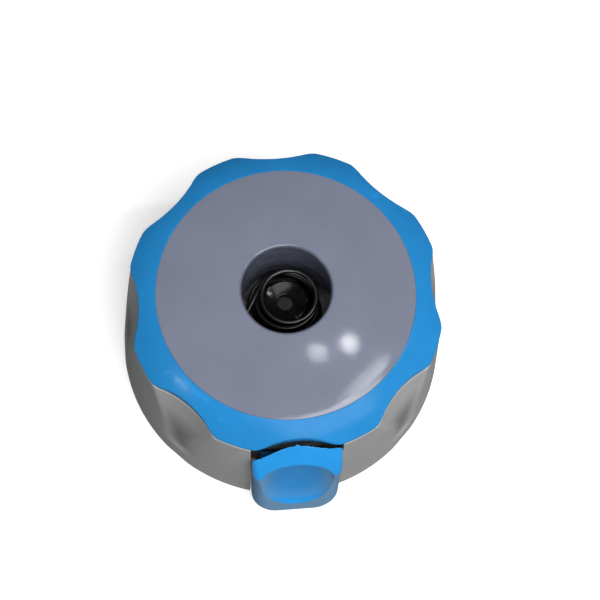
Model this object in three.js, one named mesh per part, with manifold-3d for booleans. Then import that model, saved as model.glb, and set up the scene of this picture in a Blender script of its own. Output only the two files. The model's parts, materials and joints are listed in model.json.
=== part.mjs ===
// Stitch length dial of an industrial lockstitch sewing machine, with its push-to-release lock tab.
// Millimetres, +Z up. The dial's axis is vertical and the lock tab faces -Y.
import * as THREE from 'three';
import { mergeVertices } from 'three/addons/utils/BufferGeometryUtils.js';
import Module from 'manifold-3d';

const wasm = await Module();
wasm.setup();

// ---- driving dimensions ----
const gap = 0.3; // running gap between neighbours
const overlap = 0.5; // how far joined solids reach into each other
const beyond = 1; // how far a cutting solid stands past what it cuts
const totalSteps = 24; // notches in one turn of the index wheel

const dial = { lobeR: 24, baseR: 26, top: 22, innerBaseR: 22.6, innerTopR: 19.6, ledgeR: 17, ledge: 1.5 };
const scallop = { count: 8, radius: 15.1, valleyR: 22.1, blend: 0.6, segments: 144 };
const recess = { bottom: 5, lean: 2.5, lip: 1.5, rows: 8 };
const web = { bottom: 8, thick: 2.2, reach: 21.8, bossR: 7.2, bossTop: 13.6 };
const ring = { innerR: 19.5, edge: 0.8 };
const dome = { crown: 27.4, radius: 110, holeR: 6.65, lip: 0.6, wall: 1.8, tubeWall: 1.3, chamfer: 0.2 };
const snapLeg = { thick: 1.5, width: 5, hook: 0.9, hookHeight: 1.2, nose: 0.3, angles: [30, 150, 270] };
const sleeve = { radius: 3.4, bore: 2.2, top: 21, flangeR: 6.2, flat: 5.2, flange: 1, endWall: 2, rim: 0.3 };
const sleeveMouth = { holeR: 1.2, depth: 0.75 };
const groove = { from: 0.7, to: 1.5, depth: 0.65 };
const clip = { bottom: 0.85, top: 1.35, width: 1.8, grip: 0.35, halfOpening: 30 };
const washer = { outerR: 5.9, thick: 0.5 };
const plate = { radius: 21.2, thick: 2.5, recessR: 7, recess: 1.7 };
const wheel = { tipR: 8.5, rootR: 7.3, top: 6, notchHalf: 5, floorHalf: 1.2 };
const keeper = { innerR: 9.6, outerR: 18.4, thick: 1, lugR: 20.9, lugHalf: 11.9, lugTurn: 15 };
const slide = { halfWidth: 10.9, rail: 2, thick: 1.5, front: -13, openFront: -10.8, openBack: 9, back: 12.5 };
const pawl = { rootHalf: 0.75, shoulderHalf: 0.5, tipHalf: 0.13, engage: 0.45 };
const lip = { halfWidth: 7, thick: 1.1, top: 7.4, lift: 0.2 };
const tongue = { halfWidth: 5, reach: 23.9 };
const tab = {
  halfWidth: 6.7, innerR: 22.5, top: 21.5, brow: [26.5, 16.6], footR: 28.9, foot: 1, backR: 24.5,
  round: 0.6, fit: 0.4,
};
const tabWindow = { halfWidth: tab.halfWidth + gap, innerR: 20.4 };
const follower = { halfWidth: 5.2, innerR: 19.8, top: web.bottom - gap };
const dish = { halfWidth: 5.4, halfHeight: 8, depth: 1.6, raise: 0.6 };
const coil = { bottomR: 5.3, topR: 4.1, wire: 0.36, pitch: 2.6, top: 24 };
const returnSpring = { meanR: 1.3, wire: 0.25, turns: 5, x: 4.5, z: 5.9, start: 12.8, end: 18.9 };
const stopPin = { radius: 0.9, orbit: 19.8, angle: 180, top: 3.8 };
const footprintShift = (tab.footR - dial.baseR) / 2; // centres the footprint on the origin

// ---- heights worked out from the stack under the dial ----
const keeperBottom = plate.thick + gap;
const keeperTop = keeperBottom + keeper.thick;
const slideBottom = keeperTop + gap;
const slideTop = slideBottom + slide.thick;
const ringBottom = dial.top + gap;
const flangeBottom = web.bossTop + gap;
const washerBottom = flangeBottom + sleeve.flange + gap;

// ---- materials ----
function finish(color, roughness, metalness = 0) {
  return new THREE.MeshStandardMaterial({ color, roughness, metalness });
}

const greyPlastic = finish(0x9a9aa0, 0.5);
const capPlastic = finish(0x8f90a6, 0.42);
const bluePlastic = finish(0x1e8be0, 0.4);
const steel = finish(0xa9adb2, 0.35, 1);
const zincSteel = finish(0xc3c6c8, 0.3, 1);
const blackSteel = finish(0x16161a, 0.3, 0.9);
const springSteel = finish(0x77797d, 0.3, 1);

// ---- small helpers ----
const rad = THREE.MathUtils.degToRad;
const onCircle = (radius, degrees) => [radius * Math.cos(rad(degrees)), radius * Math.sin(rad(degrees))];
const each = (count, make) => Array.from({ length: count }, (_, i) => make(i));
const domeHeight = (r) => dome.crown - (r * r) / (2 * dome.radius);

function solid(geometry) {
  const bare = geometry.clone();
  bare.deleteAttribute('normal');
  bare.deleteAttribute('uv');
  const merged = mergeVertices(bare, 1e-5);
  return new wasm.Manifold(new wasm.Mesh({
    numProp: 3,
    vertProperties: new Float32Array(merged.attributes.position.array),
    triVerts: new Uint32Array(merged.index.array),
  }));
}

function meshOf(name, body, material) {
  const result = body.getMesh();
  const geometry = new THREE.BufferGeometry();
  geometry.setAttribute('position', new THREE.BufferAttribute(result.vertProperties, 3));
  geometry.setIndex(new THREE.BufferAttribute(result.triVerts, 1));
  geometry.computeVertexNormals();
  const mesh = new THREE.Mesh(geometry, material);
  mesh.name = name;
  return mesh;
}

// A closed (radius, height) outline, outside going up, turned about Z.
function turnedGeometry(outline, segments) {
  const points = [...outline, outline[0]].map(([r, z]) => new THREE.Vector2(r, z));
  return new THREE.LatheGeometry(points, segments).rotateX(Math.PI / 2);
}

const turned = (outline, segments = 48) => solid(turnedGeometry(outline, segments));

// A hollow or solid cylinder between two heights.
function tube(innerR, outerR, bottom, top, segments = 48) {
  return turned([[innerR, bottom], [outerR, bottom], [outerR, top], [innerR, top]], segments);
}

function rod(radius, bottom, top, x = 0, y = 0, sides = 20) {
  const geometry = new THREE.CylinderGeometry(radius, radius, top - bottom, sides).rotateX(Math.PI / 2);
  return solid(geometry.translate(x, y, (top + bottom) / 2));
}

function cone(bottomR, topR, bottom, top, x, y, sides = 20) {
  const geometry = new THREE.CylinderGeometry(topR, bottomR, top - bottom, sides).rotateX(Math.PI / 2);
  return solid(geometry.translate(x, y, (top + bottom) / 2));
}

function rodAlongY(radius, x, z, from, to, sides = 10) {
  const geometry = new THREE.CylinderGeometry(radius, radius, to - from, sides);
  return solid(geometry.translate(x, (from + to) / 2, z));
}

function block([x0, x1], [y0, y1], [z0, z1]) {
  const geometry = new THREE.BoxGeometry(x1 - x0, y1 - y0, z1 - z0);
  return solid(geometry.translate((x0 + x1) / 2, (y0 + y1) / 2, (z0 + z1) / 2));
}

function outlineShape(points) {
  return new THREE.Shape(points.map(([x, y]) => new THREE.Vector2(x, y)));
}

// A flat outline in plan, raised from one height to another.
function raised(shape, bottom, top, curveSegments = 12) {
  const depth = top - bottom;
  const geometry = new THREE.ExtrudeGeometry(shape, { depth, bevelEnabled: false, curveSegments });
  return solid(geometry.translate(0, 0, bottom));
}

// A (radius, height) outline given a width and stood out from the axis at an angle.
function radialRib(points, width, degrees) {
  const geometry = new THREE.ExtrudeGeometry(outlineShape(points), { depth: width, bevelEnabled: false });
  geometry.rotateX(Math.PI / 2).translate(0, width / 2, 0).rotateZ(rad(degrees));
  return solid(geometry);
}

class Helix extends THREE.Curve {
  constructor(startR, endR, pitch, turns) {
    super();
    Object.assign(this, { startR, endR, pitch, turns });
  }

  getPoint(t, target = new THREE.Vector3()) {
    const angle = t * this.turns * 2 * Math.PI;
    const radius = THREE.MathUtils.lerp(this.startR, this.endR, t);
    return target.set(radius * Math.cos(angle), radius * Math.sin(angle), t * this.turns * this.pitch);
  }
}

function coilGeometry(startR, endR, wire, pitch, turns, stepsPerTurn, sides) {
  const section = new THREE.Shape().absarc(0, 0, wire, 0, 2 * Math.PI);
  return new THREE.ExtrudeGeometry(section, {
    extrudePath: new Helix(startR, endR, pitch, turns),
    steps: Math.round(turns * stepsPerTurn),
    curveSegments: sides / 2,
    bevelEnabled: false,
  });
}

// ---- the scalloped outline that the ring and the skirt share ----
function softMin(a, b, blend) {
  const h = Math.max(blend - Math.abs(a - b), 0) / blend;
  return Math.min(a, b) - (h * h * blend) / 4;
}

// Radius at an angle, for a lobe radius and a scallop whose deepest point is at valleyR.
function scallopedRadius(angle, lobeR, valleyR) {
  const centre = valleyR + scallop.radius;
  const pitch = (2 * Math.PI) / scallop.count;
  const fromFront = angle + Math.PI / 2;
  const offset = fromFront - Math.round(fromFront / pitch) * pitch;
  const reach = centre * Math.sin(offset);
  if (Math.abs(reach) >= scallop.radius) return lobeR;
  const wall = centre * Math.cos(offset) - Math.sqrt(scallop.radius ** 2 - reach ** 2);
  return softMin(lobeR, wall, scallop.blend);
}

const skirtRadius = (z) => THREE.MathUtils.mapLinear(z, 0, dial.top, dial.baseR, dial.lobeR);

// The finger recess leans out as it falls, then its rounded lip meets the skirt.
function skirtAt(angle, z) {
  const down = (dial.top - z) / (dial.top - recess.bottom);
  if (down > 1) return skirtRadius(z);
  const lean = recess.lean * Math.sin((down * Math.PI) / 1.6);
  const lipReach = recess.lip * (1 - Math.sqrt(1 - down ** 6));
  return scallopedRadius(angle, skirtRadius(z), scallop.valleyR + lean + lipReach);
}

// Moves every vertex outside a radius to the radius and height that a rule gives.
function reshape(geometry, outsideR, rule) {
  const position = geometry.attributes.position;
  for (let i = 0; i < position.count; i += 1) {
    const x = position.getX(i);
    const y = position.getY(i);
    const r = Math.hypot(x, y);
    if (r > outsideR) {
      const [newR, newZ] = rule(Math.atan2(y, x), position.getZ(i), r);
      position.setXYZ(i, (x * newR) / r, (y * newR) / r, newZ);
    }
  }
  return geometry;
}

// ---- base: the pieces that stay on the machine ----
function indexWheelShape() {
  const step = 360 / totalSteps;
  const { tipR, rootR, notchHalf, floorHalf } = wheel;
  const notch = (i) => [[tipR, -notchHalf], [rootR, -floorHalf], [rootR, floorHalf], [tipR, notchHalf]]
    .map(([r, turn]) => onCircle(r, i * step + turn));
  const shape = outlineShape(each(totalSteps, notch).flat());
  shape.holes.push(new THREE.Path().absarc(0, 0, sleeve.radius + gap, 0, 2 * Math.PI));
  return shape;
}

const plateScrew = { shank: 1.5, headR: 2.9, head: 1.5, sunk: 0.1, orbit: 14, angles: [30, 150, 270] };
const slot = { halfWidth: 0.4, depth: 0.7 };

function indexPlate() {
  const bore = sleeve.radius + gap;
  let body = turned([
    [bore, plate.recess], [plate.recessR, plate.recess], [plate.recessR, 0], [plate.radius, 0],
    [plate.radius, plate.thick], [bore, plate.thick],
  ], 56).add(raised(indexWheelShape(), plate.thick - overlap, wheel.top));
  for (const angle of plateScrew.angles) {
    const [x, y] = onCircle(plateScrew.orbit, angle);
    const sink = plate.thick - plateScrew.head;
    body = body.subtract(rod(plateScrew.shank + gap, -beyond, plate.thick + beyond, x, y));
    body = body.subtract(cone(plateScrew.shank + gap, plateScrew.headR + gap, sink, plate.thick, x, y));
  }
  const [x, y] = onCircle(stopPin.orbit, stopPin.angle);
  return body.subtract(rod(stopPin.radius + gap, gap, plate.thick + beyond, x, y));
}

function plateScrewSolid(angle) {
  const [x, y] = onCircle(plateScrew.orbit, angle);
  const sink = plate.thick - plateScrew.head;
  const top = plate.thick - plateScrew.sunk;
  const ys = [y - slot.halfWidth, y + slot.halfWidth];
  return rod(plateScrew.shank, plateScrew.sunk, sink + overlap, x, y)
    .add(cone(plateScrew.shank, plateScrew.headR, sink, top, x, y))
    .subtract(block([x - plateScrew.headR, x + plateScrew.headR], ys, [top - slot.depth, top + beyond]));
}

function stopPinSolid() {
  const [x, y] = onCircle(stopPin.orbit, stopPin.angle);
  return rod(stopPin.radius, 2 * gap, stopPin.top, x, y, 16);
}

// ---- dial: the pieces that turn ----
const keeperScrew = { shank: 1.1, headR: 1.9, head: 0.8, top: 7.4, postR: 2.2, sunk: 0.05, x: 13.8, y: 8 };
const corners = [[1, 1], [-1, 1], [-1, -1], [1, -1]];
const keeperPlaces = corners.map(([i, j]) => [i * keeperScrew.x, j * keeperScrew.y]);
const cross = { halfLength: 1.1, halfWidth: 0.25, depth: 0.5 };
const ringPeg = { radius: 0.9, length: 2.2, orbit: 21.8, sides: 12, angles: [-22.5, 67.5, 112.5, 202.5] };
const guide = { halfLength: 9, wall: 1.4, pad: 9.3 };
const driver = { thick: 1.4, halfLength: 2.6 };
const springWall = { halfWidth: 7, from: 19.2, to: 21.6 };
const post = { radius: 0.7, length: 1.1 };

function skirtShell() {
  const crowding = 1.8; // rows draw together towards the recess's lip
  const heights = each(recess.rows + 1, (i) => (
    THREE.MathUtils.lerp(recess.bottom, dial.top, (i / recess.rows) ** crowding)
  ));
  const outer = [gap, ...heights].map((z) => [skirtRadius(z), z]);
  const under = dial.top - dial.ledge;
  const chamfer = dial.innerTopR - dial.ledgeR;
  const outline = [
    [dial.innerBaseR, gap], ...outer, [dial.ledgeR, dial.top], [dial.ledgeR, under],
    [dial.innerTopR, under - chamfer / 2],
  ];
  const wallOnly = dial.innerBaseR + overlap;
  const geometry = turnedGeometry(outline, scallop.segments);
  return solid(reshape(geometry, wallOnly, (angle, z) => [skirtAt(angle, z), z]));
}

function webAndBoss() {
  const bore = sleeve.radius + gap;
  const top = web.bottom + web.thick;
  return turned([
    [bore, web.bottom], [web.reach, web.bottom], [web.reach, top], [web.bossR, top],
    [web.bossR, web.bossTop], [bore, web.bossTop],
  ]);
}

// Ribs beside the hub that turn the sleeve by its two flats.
function hubDriver(side) {
  const near = sleeve.flat + gap;
  const far = near + driver.thick;
  const xs = side > 0 ? [near, far] : [-far, -near];
  const zs = [web.bossTop - overlap, web.bossTop + sleeve.flange];
  return block(xs, [-driver.halfLength, driver.halfLength], zs);
}

// One side's guide for the lock slide: a wall beside it and a pad above it.
function slideGuide(side) {
  const wallX = slide.halfWidth + gap;
  const ys = [-guide.halfLength, guide.halfLength];
  const wall = [wallX, wallX + guide.wall].map((x) => x * side).sort((a, b) => a - b);
  const pad = [guide.pad, wallX + 0.1].map((x) => x * side).sort((a, b) => a - b);
  return block(wall, ys, [slideBottom, web.bottom + overlap])
    .add(block(pad, ys, [slideTop + gap, web.bottom + overlap]));
}

function dialBody() {
  let body = skirtShell().add(webAndBoss());
  for (const side of [-1, 1]) {
    body = body.add(hubDriver(side)).add(slideGuide(side));
  }
  for (const [x, y] of keeperPlaces) {
    body = body.add(rod(keeperScrew.postR, slideBottom, web.bottom + overlap, x, y));
  }
  const { halfWidth, from, to } = springWall;
  body = body.add(block([-halfWidth, halfWidth], [from, to], [slideBottom, web.bottom + overlap]));
  for (const x of [-returnSpring.x, returnSpring.x]) {
    body = body.add(rodAlongY(post.radius, x, returnSpring.z, from - post.length, from + overlap));
  }
  for (const [x, y] of keeperPlaces) {
    body = body.subtract(rod(keeperScrew.shank + gap, slideBottom - beyond, keeperScrew.top + gap, x, y));
  }
  const socketBottom = dial.top - ringPeg.length - gap;
  for (const angle of ringPeg.angles) {
    const [x, y] = onCircle(ringPeg.orbit, angle);
    body = body.subtract(rod(ringPeg.radius + gap, socketBottom, dial.top + beyond, x, y, ringPeg.sides));
  }
  const { halfWidth: opening, innerR } = tabWindow;
  return body.subtract(block([-opening, opening], [-tab.footR, -innerR], [-beyond, dial.top + beyond]));
}

// The ring's face is one cone, which the scallops cut straight down.
function bezelRing() {
  const top = domeHeight(ring.innerR);
  const shoulder = ringBottom + ring.edge;
  const span = dial.lobeR - ring.innerR;
  const geometry = turnedGeometry([
    [ring.innerR, ringBottom], [dial.lobeR, ringBottom], [dial.lobeR, shoulder], [ring.innerR, top],
  ], scallop.segments);
  reshape(geometry, ring.innerR + overlap, (angle, z) => {
    const edge = scallopedRadius(angle, dial.lobeR, scallop.valleyR);
    const face = shoulder + ((top - shoulder) * (dial.lobeR - edge)) / span;
    return [edge, z > ringBottom ? face : z];
  });
  let body = solid(geometry);
  for (const angle of ringPeg.angles) {
    const [x, y] = onCircle(ringPeg.orbit, angle);
    const tip = dial.top - ringPeg.length + gap;
    body = body.add(rod(ringPeg.radius, tip, ringBottom + overlap, x, y, ringPeg.sides));
  }
  return body;
}

// A springy leg's (radius, height) outline, with a hook that holds under the dial body's ledge.
function snapLegOutline() {
  const { thick, hook, hookHeight, nose } = snapLeg;
  const outer = dial.ledgeR - gap;
  const hookTop = dial.top - dial.ledge - 2.5 * gap;
  const foot = hookTop - hookHeight;
  const top = dial.top + 2 * thick;
  return [
    [outer - thick, foot], [outer - nose, foot], [outer + hook, hookTop - nose], [outer + hook, hookTop],
    [outer, hookTop], [outer, top], [outer - thick, top],
  ];
}

function faceCap() {
  const { holeR, lip: lipR, wall, tubeWall, chamfer } = dome;
  const edgeR = ring.innerR - gap;
  const rows = 4;
  const crown = each(rows + 1, (i) => THREE.MathUtils.lerp(edgeR, holeR + lipR, i / rows));
  const tubeR = holeR + tubeWall;
  const rimR = dial.ledgeR + 0.4;
  let body = turned([
    [holeR, washerBottom], [tubeR, washerBottom], [tubeR, domeHeight(tubeR) - wall - lipR],
    [rimR, domeHeight(rimR) - wall], [rimR, ringBottom], [edgeR, ringBottom],
    ...crown.map((r) => [r, domeHeight(r)]),
    [holeR + chamfer, domeHeight(holeR) - chamfer], [holeR, domeHeight(holeR) - lipR],
  ], 64);
  for (const angle of snapLeg.angles) {
    body = body.add(radialRib(snapLegOutline(), snapLeg.width, angle));
  }
  return body;
}

// Its upper end is closed but for a screw hole at the bottom of a shallow dished mouth.
function hubSleeve() {
  const { radius, bore, top, flangeR, flat, flange, endWall, rim } = sleeve;
  const flangeTop = flangeBottom + flange;
  const body = turned([
    [bore, gap], [radius, gap], [radius, groove.from], [radius - groove.depth, groove.from],
    [radius - groove.depth, groove.to], [radius, groove.to], [radius, flangeBottom], [flangeR, flangeBottom],
    [flangeR, flangeTop], [radius, flangeTop], [radius, top - rim], [radius - rim, top],
    [sleeveMouth.holeR, top - sleeveMouth.depth], [sleeveMouth.holeR, top - endWall], [bore, top - endWall],
  ], 28);
  const across = [-flangeR - beyond, flangeR + beyond];
  const zs = [flangeBottom - gap / 3, flangeTop + gap / 3];
  return body
    .subtract(block([flat, across[1]], across, zs))
    .subtract(block([across[0], -flat], across, zs));
}

function springWasher() {
  return tube(sleeve.radius + gap, washer.outerR, washerBottom, washerBottom + washer.thick, 32);
}

function circlip() {
  const innerR = sleeve.radius - clip.grip;
  const from = rad(clip.halfOpening);
  const to = rad(360 - clip.halfOpening);
  const shape = new THREE.Shape();
  shape.absarc(0, 0, innerR + clip.width, from, to);
  shape.absarc(0, 0, innerR, to, from, true);
  return raised(shape, clip.bottom, clip.top);
}

function centreSpring() {
  const bottom = washerBottom + washer.thick + gap + coil.wire;
  const turns = (coil.top - coil.wire - bottom) / coil.pitch;
  const geometry = coilGeometry(coil.bottomR, coil.topR, coil.wire, coil.pitch, turns, 16, 8);
  return solid(geometry.translate(0, 0, bottom));
}

function keeperPlate() {
  const shape = new THREE.Shape();
  const lugFrom = rad(stopPin.angle + keeper.lugTurn - keeper.lugHalf);
  const lugTo = rad(stopPin.angle + keeper.lugTurn + keeper.lugHalf);
  shape.absarc(0, 0, keeper.outerR, lugTo, lugFrom + 2 * Math.PI);
  shape.absarc(0, 0, keeper.lugR, lugFrom, lugTo);
  shape.closePath();
  shape.holes.push(new THREE.Path().absarc(0, 0, keeper.innerR, 0, 2 * Math.PI));
  let body = raised(shape, keeperBottom, keeperTop, 18);
  for (const [x, y] of keeperPlaces) {
    body = body.subtract(rod(keeperScrew.shank + gap, keeperBottom - beyond, keeperTop + beyond, x, y));
    body = body.subtract(cone(keeperScrew.headR + gap, keeperScrew.shank + gap,
      keeperBottom, keeperBottom + keeperScrew.head, x, y));
  }
  return body;
}

function keeperScrewSolid([x, y]) {
  const { shank, headR, head, top, sunk } = keeperScrew;
  const { halfLength, halfWidth, depth } = cross;
  const bottom = keeperBottom + sunk;
  const zs = [bottom - beyond, bottom + depth];
  return cone(headR, shank, bottom, bottom + head, x, y, 16)
    .add(rod(shank, bottom + head / 2, top, x, y, 16))
    .subtract(block([x - halfLength, x + halfLength], [y - halfWidth, y + halfWidth], zs))
    .subtract(block([x - halfWidth, x + halfWidth], [y - halfLength, y + halfLength], zs));
}

// ---- lock: the pieces that slide when the tab is pressed ----
const rivet = { shank: 0.8, headR: 1.4, head: 0.6, sunk: 0.05, x: 3, y: -21.9, top: 7.6 };

function lockSlide() {
  const { halfWidth, rail, front, openFront, openBack, back } = slide;
  const inner = halfWidth - rail;
  const frame = outlineShape([
    [-halfWidth, front], [-tongue.halfWidth, front], [-tongue.halfWidth, -tongue.reach],
    [tongue.halfWidth, -tongue.reach], [tongue.halfWidth, front], [halfWidth, front],
    [halfWidth, back], [-halfWidth, back],
  ]);
  const { rootHalf, shoulderHalf, tipHalf } = pawl;
  const tip = wheel.rootR + pawl.engage;
  frame.holes.push(outlineShape([
    [-inner, openFront], [inner, openFront], [inner, openBack], [rootHalf, openBack],
    [shoulderHalf, wheel.tipR], [tipHalf, tip], [-tipHalf, tip], [-shoulderHalf, wheel.tipR],
    [-rootHalf, openBack], [-inner, openBack],
  ]));
  const lipHeights = [slideBottom + lip.lift, lip.top];
  let body = raised(frame, slideBottom, slideTop)
    .add(block([-lip.halfWidth, lip.halfWidth], [back - lip.thick, back], lipHeights));
  for (const side of [-1, 1]) {
    const x = side * returnSpring.x;
    body = body.add(rodAlongY(post.radius, x, returnSpring.z, back - overlap, back + post.length));
    const rivetX = side * rivet.x;
    body = body.subtract(rod(rivet.shank + gap, slideBottom - beyond, slideTop + beyond, rivetX, rivet.y));
    body = body.subtract(cone(rivet.headR + gap, rivet.shank + gap,
      slideBottom, slideBottom + rivet.head, rivetX, rivet.y));
  }
  return body;
}

function lockTab() {
  const { halfWidth, innerR, top, brow, footR, foot, backR, round, fit } = tab;
  const side = [
    [innerR, follower.top], [backR, slideTop + gap], [backR, foot + 2 * round], [backR + 2 * round, foot],
    [footR - round, foot], [footR, foot + round], brow, [innerR, top],
  ];
  const scallopY = -scallop.valleyR - scallop.radius;
  const shell = radialRib(side, 2 * halfWidth, -90)
    .intersect(rod(scallop.radius - fit, -beyond, dial.top + beyond, 0, scallopY, 72));
  const slope = Math.atan2(footR - brow[0], brow[1] - foot);
  const dishGeometry = new THREE.SphereGeometry(1, 28, 18)
    .scale(dish.halfWidth, dish.depth, dish.halfHeight)
    .rotateX(-slope)
    .translate(0, -(brow[0] + footR) / 2, (brow[1] + foot) / 2 + dish.raise);
  let body = shell
    .subtract(solid(dishGeometry))
    .add(block([-follower.halfWidth, follower.halfWidth], [-backR - overlap, -follower.innerR],
      [slideTop + gap, follower.top]));
  for (const x of [-rivet.x, rivet.x]) {
    body = body.subtract(rod(rivet.shank + gap, slideTop - beyond, follower.top + beyond, x, rivet.y));
  }
  return body;
}

function rivetSolid(side) {
  const x = side * rivet.x;
  const bottom = slideBottom + rivet.sunk;
  return cone(rivet.headR, rivet.shank, bottom, bottom + rivet.head, x, rivet.y, 16)
    .add(rod(rivet.shank, bottom + rivet.head / 2, rivet.top, x, rivet.y, 16));
}

function returnSpringSolid(side) {
  const { meanR, wire, turns, x, z, start, end } = returnSpring;
  const pitch = (end - start - 2 * wire) / turns;
  const geometry = coilGeometry(meanR, meanR, wire, pitch, turns, 10, 6);
  return solid(geometry.rotateX(-Math.PI / 2).translate(side * x, start + wire, z));
}

// ---- the assembly ----
const base = new THREE.Group();
base.add(meshOf('index_plate', indexPlate(), steel));
plateScrew.angles.forEach((angle, i) => {
  base.add(meshOf(`plate_screw_${i + 1}`, plateScrewSolid(angle), zincSteel));
});
base.add(meshOf('zero_stop_pin', stopPinSolid(), zincSteel));

const turning = new THREE.Group();
turning.add(
  meshOf('dial_body', dialBody(), greyPlastic),
  meshOf('bezel_ring', bezelRing(), bluePlastic),
  meshOf('face_cap', faceCap(), capPlastic),
  meshOf('hub_sleeve', hubSleeve(), blackSteel),
  meshOf('spring_washer', springWasher(), blackSteel),
  meshOf('centre_spring', centreSpring(), springSteel),
  meshOf('circlip', circlip(), blackSteel),
  meshOf('keeper_plate', keeperPlate(), steel),
);
keeperPlaces.forEach((place, i) => {
  turning.add(meshOf(`keeper_screw_${i + 1}`, keeperScrewSolid(place), zincSteel));
});

const lock = new THREE.Group();
lock.add(meshOf('lock_tab', lockTab(), bluePlastic), meshOf('lock_slide', lockSlide(), steel));
[-1, 1].forEach((side, i) => {
  lock.add(meshOf(`tab_rivet_${i + 1}`, rivetSolid(side), zincSteel));
  lock.add(meshOf(`return_spring_${i + 1}`, returnSpringSolid(side), springSteel));
});

const assembly = new THREE.Group();
assembly.add(base, turning, lock);
assembly.position.y = footprintShift;

export default assembly;
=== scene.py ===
"""Looks of the stitch length dial: moulded skirt, scalloped bezel, domed cap, lock tab and inner metal."""
import json
import math

import bmesh
import bpy
import numpy as np
from mathutils import Matrix, Quaternion, Vector


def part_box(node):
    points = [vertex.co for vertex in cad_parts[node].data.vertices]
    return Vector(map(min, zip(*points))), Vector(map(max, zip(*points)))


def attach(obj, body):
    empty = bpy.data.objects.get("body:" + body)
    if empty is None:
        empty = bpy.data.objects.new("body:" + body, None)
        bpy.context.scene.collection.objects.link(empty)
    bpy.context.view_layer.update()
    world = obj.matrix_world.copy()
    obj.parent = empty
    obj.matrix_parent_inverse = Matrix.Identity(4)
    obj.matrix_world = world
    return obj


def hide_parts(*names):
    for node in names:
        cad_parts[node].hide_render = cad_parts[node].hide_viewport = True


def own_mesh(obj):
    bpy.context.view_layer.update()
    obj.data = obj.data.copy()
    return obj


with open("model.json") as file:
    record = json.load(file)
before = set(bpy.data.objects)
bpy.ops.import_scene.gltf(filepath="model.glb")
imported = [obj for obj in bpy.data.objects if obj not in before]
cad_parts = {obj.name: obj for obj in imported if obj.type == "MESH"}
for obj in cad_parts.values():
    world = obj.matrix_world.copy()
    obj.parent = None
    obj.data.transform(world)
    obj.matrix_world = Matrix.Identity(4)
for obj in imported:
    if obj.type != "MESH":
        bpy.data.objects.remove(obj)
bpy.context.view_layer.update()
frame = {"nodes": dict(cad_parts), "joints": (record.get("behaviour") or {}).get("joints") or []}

MM = 0.001
DIAL_JOINT = next(j for j in frame["joints"] if j["name"] == "dial_turn")
AXIS = Vector(DIAL_JOINT["pos_m"])


# ---------------------------------------------------------------- sizes in millimetres
def around_axis(node):
    """Radius from the dial axis and height of every vertex of a CAD node."""
    points = np.array([v.co for v in frame["nodes"][node].data.vertices]) - np.array(AXIS)
    return np.hypot(points[:, 0], points[:, 1]) / MM, points[:, 2] / MM


def outer_radius(node):
    return float(around_axis(node)[0].max())


def inner_radius(node):
    return float(around_axis(node)[0].min())


def low(node):
    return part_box(node)[0].z / MM


def high(node):
    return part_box(node)[1].z / MM


GAP = low("dial_body")
SKIRT_TOP = high("dial_body")
BASE_R = outer_radius("dial_body")
LOBE_R = outer_radius("bezel_ring")
RING_IN = inner_radius("bezel_ring")
RING_TOP = high("bezel_ring")
RING_BOTTOM = SKIRT_TOP + GAP
RING_EDGE = 0.85
HOLE_R = inner_radius("face_cap")
CAP_TOP = high("face_cap")
TUBE_BOTTOM = low("face_cap")
LEDGE_R = 17.0
LEDGE = 1.5
LEDGE_SLOPE = 1.3
SCALLOPS = 8
SCALLOP_R = 15.1
VALLEY_R = 22.1
RECESS_BOTTOM = 5.0
RECESS_LEAN = 2.5
RECESS_LIP = 1.5
SKIRT_BLEND = 0.35
BROW = (26.5, 16.6)  # how far out and how high the tab's brow stands
DISH_HALF = (5.7, 10.0)  # half width and half height of the thumb's hollow
DISH_HEIGHT = BROW[1] - 2.0
OVERLAP = 0.5  # how far joined solids reach into each other
BEYOND = 1.0  # how far a cutting solid stands past what it cuts
FINE_STEPS = 720  # steps about the axis of the skirt and the ring


# ---------------------------------------------------------------- outline rules
def soft_min(a, b, blend):
    h = np.maximum(blend - np.abs(a - b), 0) / blend
    return np.minimum(a, b) - h * h * blend / 4


def scalloped(angle, lobe_r, valley_r, blend):
    """Radius of the lobed outline at an angle, one scallop facing -Y."""
    centre = valley_r + SCALLOP_R
    pitch = 2 * math.pi / SCALLOPS
    turn = angle + math.pi / 2
    offset = turn - np.round(turn / pitch) * pitch
    reach = centre * np.sin(offset)
    inside = np.clip(SCALLOP_R**2 - reach**2, 0, None)
    wall = centre * np.cos(offset) - np.sqrt(inside)
    wall = np.where(np.abs(reach) < SCALLOP_R, wall, lobe_r + 2 * blend)
    return soft_min(np.full_like(wall, lobe_r), wall, blend)


def skirt_radius(z):
    return BASE_R + (LOBE_R - BASE_R) * z / SKIRT_TOP


def skirt_at(angle, z):
    """The finger recess leans out as it falls, then its rounded lip meets the skirt."""
    down = np.clip((SKIRT_TOP - z) / (SKIRT_TOP - RECESS_BOTTOM), 0, 1)
    lean = RECESS_LEAN * np.sin(down * math.pi / 1.6)
    lip = RECESS_LIP * (1 - np.sqrt(1 - down**6))
    return scalloped(angle, skirt_radius(z), VALLEY_R + lean + lip, SKIRT_BLEND)


def dome_height(r):
    """Height of the cap's domed face, from its crown at the hole rim down to the ring."""
    drop = CAP_TOP - RING_TOP
    return CAP_TOP - drop * (r**2 - HOLE_R**2) / (RING_IN**2 - HOLE_R**2)


NEARLY_STRAIGHT = 0.02  # a corner this close to straight, in radians, stays as it is
EDGE_SHARE = 0.48  # the share of an edge that one rounded corner may take


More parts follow.
